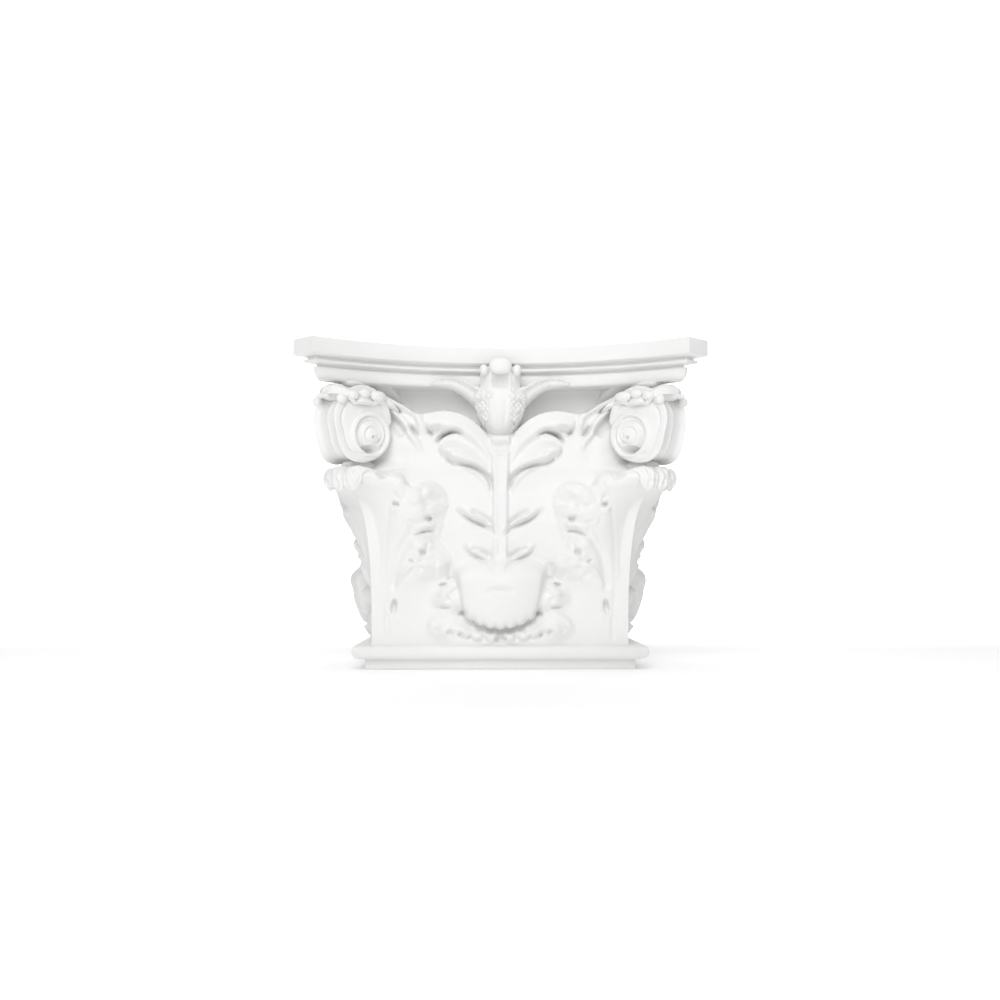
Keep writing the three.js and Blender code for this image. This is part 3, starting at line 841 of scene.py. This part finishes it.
def cores():
    """Rounded parts that touch the beads: the cores under the scroll and over its leaf, and more beads."""
    solids = [ball((202, 0, 204), (20, 13, 7)), ball((209, 0, 286.5), (18, 11, 4))]
    for middle, radii in (((216, 26, 274), (7, 5, 4.4)), ((239.5, 19, 267.5), (5.5, 5, 5))):
        solids += both(ball(middle, radii))
    return [four_times(solid, 45.0) for solid in solids]


def volume(mesh):
    """Volume inside a closed mesh: a sixth of the sum of its triangles' triple products."""
    mesh.calc_loop_triangles()
    places = np.empty(len(mesh.vertices) * 3, np.float32)
    mesh.vertices.foreach_get("co", places)
    corners = np.empty(len(mesh.loop_triangles) * 3, np.int32)
    mesh.loop_triangles.foreach_get("vertices", corners)
    first, second, third = places.reshape(-1, 3).astype(float)[corners.reshape(-1, 3)].transpose(1, 0, 2)
    return float(np.sum(first * np.cross(second, third)) / 6.0)


def joined(base, others):
    """Base with each of the other solids added to it, one boolean union after another.

    A union holds at least the larger of the two volumes and at most their sum, or it has failed.
    """
    for other in others:
        before, added = volume(base.data), volume(other.data)
        union = base.modifiers.new("union", "BOOLEAN")
        union.operation = "UNION"
        union.solver = "MANIFOLD"
        union.object = other
        settle(base)
        after = volume(base.data)
        if not max(before, added) * 0.9999 < after < (before + added) * 1.0001:
            raise RuntimeError("a union of the casting failed")
        bpy.data.objects.remove(other)


def settle(thing):
    """Applies every modifier of a piece to its mesh."""
    graph = bpy.context.evaluated_depsgraph_get()
    mesh = bpy.data.meshes.new_from_object(thing.evaluated_get(graph))
    thing.modifiers.clear()
    thing.data = mesh


def level_flat(mesh):
    """Shades level faces flat, so that the rounding beside them does not shade them."""
    normals = np.empty(len(mesh.polygons) * 3, np.float32)
    mesh.polygons.foreach_get("normal", normals)
    mesh.polygons.foreach_set("use_smooth", np.abs(normals.reshape(-1, 3)[:, 2]) < 0.9999)


# ---- Finish ----------------------------------------------------------------


class Wire:
    """A socket, or a number, that builds Math nodes when it is used in an expression."""

    def __init__(self, tree, socket):
        self.tree, self.socket = tree, socket

    def node(self, kind, settings=None, **values):
        """A node of a kind, with its settings, and its inputs by name or place (i0, i1, ...)."""
        made = self.tree.nodes.new(kind)
        for name, value in (settings or {}).items():
            setattr(made, name, value)
        for name, value in values.items():
            place = int(name[1:]) if name[0] == "i" and name[1:].isdigit() else name.replace("_", " ")
            target = made.inputs[place]
            if isinstance(value, Wire):
                self.tree.links.new(value.socket, target)
            else:
                target.default_value = value
        return made

    def out(self, kind, output=0, settings=None, **values):
        """The output of a new node, as a wire."""
        return Wire(self.tree, self.node(kind, settings, **values).outputs[output])

    def math(self, operation, first, second):
        return self.out("ShaderNodeMath", 0, {"operation": operation}, i0=first, i1=second)

    def __add__(self, other):
        return self.math("ADD", self, other)

    __radd__ = __add__

    def __sub__(self, other):
        return self.math("SUBTRACT", self, other)

    def __rsub__(self, other):
        return self.math("SUBTRACT", other, self)

    def __mul__(self, other):
        return self.math("MULTIPLY", self, other)

    __rmul__ = __mul__

    def band(self, low, high):
        """0 below low, 1 above high, smooth between."""
        settings = {"interpolation_type": "SMOOTHSTEP"}
        return self.out("ShaderNodeMapRange", 0, settings, Value=self, From_Min=low, From_Max=high)


def primed_plaster(tint, shade, roughness):
    """Matt white primer on a moulding: faint clouds, sprayed grain, fine pinholes and rubbed patches."""
    material = bpy.data.materials.new("white_primer")
    material.use_nodes = True
    tree = material.node_tree
    shader = next(n for n in tree.nodes if n.type == "BSDF_PRINCIPLED")
    start = Wire(tree, None)
    place = start.out("ShaderNodeTexCoord", "Object")

    def noise(scale, detail, rough=0.55):
        values = {"Vector": place, "Scale": scale, "Detail": detail, "Roughness": rough}
        return start.out("ShaderNodeTexNoise", 0, None, **values)

    clouds = noise(9.0, 4.0).band(0.3, 0.75)
    grain = noise(420.0, 3.0, 0.6)
    dapple = noise(75.0, 3.0)
    cells = start.out("ShaderNodeTexVoronoi", 0, {"feature": "F1"}, Vector=place, Scale=230.0)
    pinholes = 1.0 - cells.band(0.05, 0.16)
    sparse = noise(31.0, 2.0).band(0.58, 0.7)
    rubbed = noise(17.0, 5.0, 0.65).band(0.52, 0.72)

    mix = start.node("ShaderNodeMix", {"data_type": "RGBA"})
    tree.links.new((clouds * 0.75 + dapple * 0.25).socket, mix.inputs["Factor"])
    mix.inputs[6].default_value = (*tint, 1.0)
    mix.inputs[7].default_value = (*shade, 1.0)
    tree.links.new(mix.outputs[2], shader.inputs["Base Color"])
    rough = roughness - 0.06 + grain * 0.1 - rubbed * 0.07 + clouds * 0.04
    tree.links.new(rough.socket, shader.inputs["Roughness"])
    height = grain * 0.35 + dapple * 0.9 - pinholes * sparse * 1.4
    bump = start.node("ShaderNodeBump", None, Height=height, Strength=0.35, Distance=0.0004)
    tree.links.new(bump.outputs[0], shader.inputs["Normal"])
    shader.inputs["Specular IOR Level"].default_value = 0.35
    return material


def plain(name, colour, roughness, glow):
    """A soft, slightly mottled finish for the floor and the backdrop, with a faint glow of its own."""
    material = bpy.data.materials.new(name)
    material.use_nodes = True
    tree = material.node_tree
    shader = next(n for n in tree.nodes if n.type == "BSDF_PRINCIPLED")
    start = Wire(tree, None)
    place = start.out("ShaderNodeTexCoord", "Object")
    mottle = start.out("ShaderNodeTexNoise", 0, None, Vector=place, Scale=3.0, Detail=3.0)
    shader.inputs["Base Color"].default_value = (*colour, 1.0)
    tree.links.new((roughness - 0.05 + mottle * 0.1).socket, shader.inputs["Roughness"])
    shader.inputs["Specular IOR Level"].default_value = 0.1
    shader.inputs["Emission Color"].default_value = (1.0, 1.0, 1.0, 1.0)
    shader.inputs["Emission Strength"].default_value = glow
    return material


# ---- Settings, operators and panel -----------------------------------------


class CapitalSettings(bpy.types.PropertyGroup):
    """What a user may change on the capital."""

    carving_step: bpy.props.FloatProperty(
        name="Carving step", description="Distance between points of the carved bell, in millimetres",
        default=0.85, min=0.5, max=6.0,
    )
    triangles: bpy.props.IntProperty(
        name="Triangles", description="Most triangles that the finished casting may have",
        default=190000, min=20000, max=199000,
    )
    tint: bpy.props.FloatVectorProperty(
        name="Primer", description="Colour of the white primer", subtype="COLOR", size=3,
        default=(0.87, 0.868, 0.86), min=0.0, max=1.0,
    )
    shade: bpy.props.FloatVectorProperty(
        name="Primer in clouds", description="Slightly darker colour that clouds the primer", subtype="COLOR",
        size=3, default=(0.835, 0.834, 0.83), min=0.0, max=1.0,
    )
    roughness: bpy.props.FloatProperty(
        name="Roughness", description="How matt the primer is", default=0.62, min=0.0, max=1.0,
    )


class StageSettings(bpy.types.PropertyGroup):
    """Floor, lights and camera."""

    camera_distance: bpy.props.FloatProperty(
        name="Camera distance", description="From the axis of the capital", default=1.4, unit="LENGTH",
    )
    eye_level: bpy.props.FloatProperty(
        name="Eye level", description="Height of the camera over the underside", default=0.098, unit="LENGTH",
    )
    camera_turn: bpy.props.FloatProperty(
        name="Camera turn", description="Turn about the axis, to the left of the front",
        default=math.radians(-0.8), unit="ROTATION",
    )
    aim_level: bpy.props.FloatProperty(
        name="Aim level", description="Height over the underside that the camera looks at", default=0.1785,
        unit="LENGTH",
    )
    aim_right: bpy.props.FloatProperty(
        name="Aim right", description="How far right of the axis the camera looks", default=0.0018,
        unit="LENGTH",
    )
    lens: bpy.props.FloatProperty(
        name="Lens", description="Focal length", default=45.0, unit="CAMERA",
    )
    floor: bpy.props.FloatVectorProperty(
        name="Floor", description="Colour of the floor and backdrop", subtype="COLOR", size=3,
        default=(0.93, 0.93, 0.93), min=0.0, max=1.0,
    )


class CAPITAL_OT_casting(bpy.types.Operator):
    """Build the capital as one casting: bell, leaves, scrolls, flowers, abacus and neck"""

    bl_idname = "capital.casting"
    bl_label = "Casting"
    bl_options = {"REGISTER", "UNDO"}

    def execute(self, context):
        settings = context.scene.capital_settings
        casting = put("capital_casting", facing_out(bell(settings.carving_step)))
        groups = [
            [neck(), abacus()],
            [four_times(scroll(), 45.0), four_times(flower(), 0.0)],
            [four_times(scroll_leaf(), 45.0), four_times(leaf_tip(), 45.0)],
            cores(),
            [four_times(solid, 0.0) for solid in both(wing())],
            beads(),
        ]
        additions = [together(group) for group in groups]
        joined(casting, [put("addition", solid) for solid in additions])
        casting.data.calc_loop_triangles()
        share = settings.triangles / len(casting.data.loop_triangles)
        if share < 1.0:
            thin = casting.modifiers.new("thin", "DECIMATE")
            thin.ratio = share
            settle(casting)
        casting.data.name = "capital_casting"
        casting.data.shade_smooth()
        casting.data.set_sharp_from_angle(angle=math.radians(42.0))
        level_flat(casting.data)
        casting.data.materials.clear()
        casting.data.materials.append(primed_plaster(settings.tint, settings.shade, settings.roughness))
        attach(casting, "root")
        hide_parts("capital")
        return {"FINISHED"}


class CAPITAL_OT_stage(bpy.types.Operator):
    """Set out the floor with its backdrop, the lights and the camera"""

    bl_idname = "capital.stage"
    bl_label = "Stage"
    bl_options = {"REGISTER", "UNDO"}

    def execute(self, context):
        settings = context.scene.stage_settings
        scene = context.scene
        self.cove(settings)
        self.lamp("key", (-0.3, -2.5, 1.5), 1.7, 40.0, (0.0, 0.0, 0.16))
        self.lamp("top", (0.0, -0.5, 2.6), 2.2, 19.0, (0.0, -0.2, 0.0))
        self.lamp("backdrop", (0.0, 1.6, 2.6), 3.0, 190.0, (0.0, 4.2, 1.2))
        world = bpy.data.worlds.new("studio")
        world.use_nodes = True
        world.node_tree.nodes["Background"].inputs["Color"].default_value = (1.0, 1.0, 1.0, 1.0)
        world.node_tree.nodes["Background"].inputs["Strength"].default_value = 0.28
        scene.world = world
        scene.view_settings.view_transform = "Standard"
        self.camera(settings)
        return {"FINISHED"}

    def cove(self, settings):
        """Floor and wall in one sheet: a straight run, a quarter circle and a straight rise."""
        turn = np.linspace(0.0, math.pi / 2.0, 25)
        radius, back, wide, front, tall = 1.2, 3.0, 6.0, -4.0, 5.0
        y = np.concatenate([[front], back + radius * np.sin(turn), [back + radius]])
        z = np.concatenate([[0.0], radius - radius * np.cos(turn), [tall]])
        x = np.array([-wide, wide])[:, None]
        points = np.stack(np.broadcast_arrays(x, y[None, :], z[None, :]), -1).reshape(-1, 3)
        mesh = bpy.data.meshes.new("floor")
        mesh.from_pydata(points.tolist(), [], grid_faces(2, len(y), False)[:, ::-1].tolist())
        mesh.shade_smooth()
        floor = bpy.data.objects.new("floor", mesh)
        bpy.context.scene.collection.objects.link(floor)
        mesh.materials.append(plain("pale_floor", settings.floor, 0.9, 0.15))

    def lamp(self, name, place, size, power, target):
        """A square soft light that looks at target."""
        data = bpy.data.lights.new(name, "AREA")
        data.shape, data.size, data.energy = "SQUARE", size, power
        lamp = bpy.data.objects.new(name, data)
        lamp.location = place
        aim = Vector(target) - Vector(place)
        lamp.rotation_euler = aim.to_track_quat("-Z", "Y").to_euler()
        bpy.context.scene.collection.objects.link(lamp)

    def camera(self, settings):
        """A camera in front of the capital, a little below its middle."""
        data = bpy.data.cameras.new("camera")
        data.lens, data.sensor_width = settings.lens, 36.0
        camera = bpy.data.objects.new("camera", data)
        turn, away = settings.camera_turn, settings.camera_distance
        camera.location = (away * math.sin(turn), -away * math.cos(turn), settings.eye_level)
        aim = Vector((settings.aim_right, 0.0, settings.aim_level)) - camera.location
        camera.rotation_euler = aim.to_track_quat("-Z", "Y").to_euler()
        bpy.context.scene.collection.objects.link(camera)
        bpy.context.scene.camera = camera


class CAPITAL_PT_panel(bpy.types.Panel):
    """Sidebar panel of the capital"""

    bl_idname = "CAPITAL_PT_panel"
    bl_label = "Capital"
    bl_space_type = "VIEW_3D"
    bl_region_type = "UI"
    bl_category = "Capital"

    def draw(self, context):
        layout = self.layout
        for group, operator in (("capital_settings", "capital.casting"), ("stage_settings", "capital.stage")):
            box = layout.box()
            settings = getattr(context.scene, group)
            for name in settings.bl_rna.properties.keys():
                if name not in ("rna_type", "name"):
                    box.prop(settings, name)
            box.operator(operator)


CLASSES = (CapitalSettings, StageSettings, CAPITAL_OT_casting, CAPITAL_OT_stage, CAPITAL_PT_panel)


def register():
    for item in CLASSES:
        bpy.utils.register_class(item)
    bpy.types.Scene.capital_settings = bpy.props.PointerProperty(type=CapitalSettings)
    bpy.types.Scene.stage_settings = bpy.props.PointerProperty(type=StageSettings)


def unregister():
    del bpy.types.Scene.stage_settings
    del bpy.types.Scene.capital_settings
    for item in reversed(CLASSES):
        bpy.utils.unregister_class(item)


def main():
    register()
    bpy.ops.capital.casting()
    bpy.ops.capital.stage()


if __name__ == "__main__":
    main()
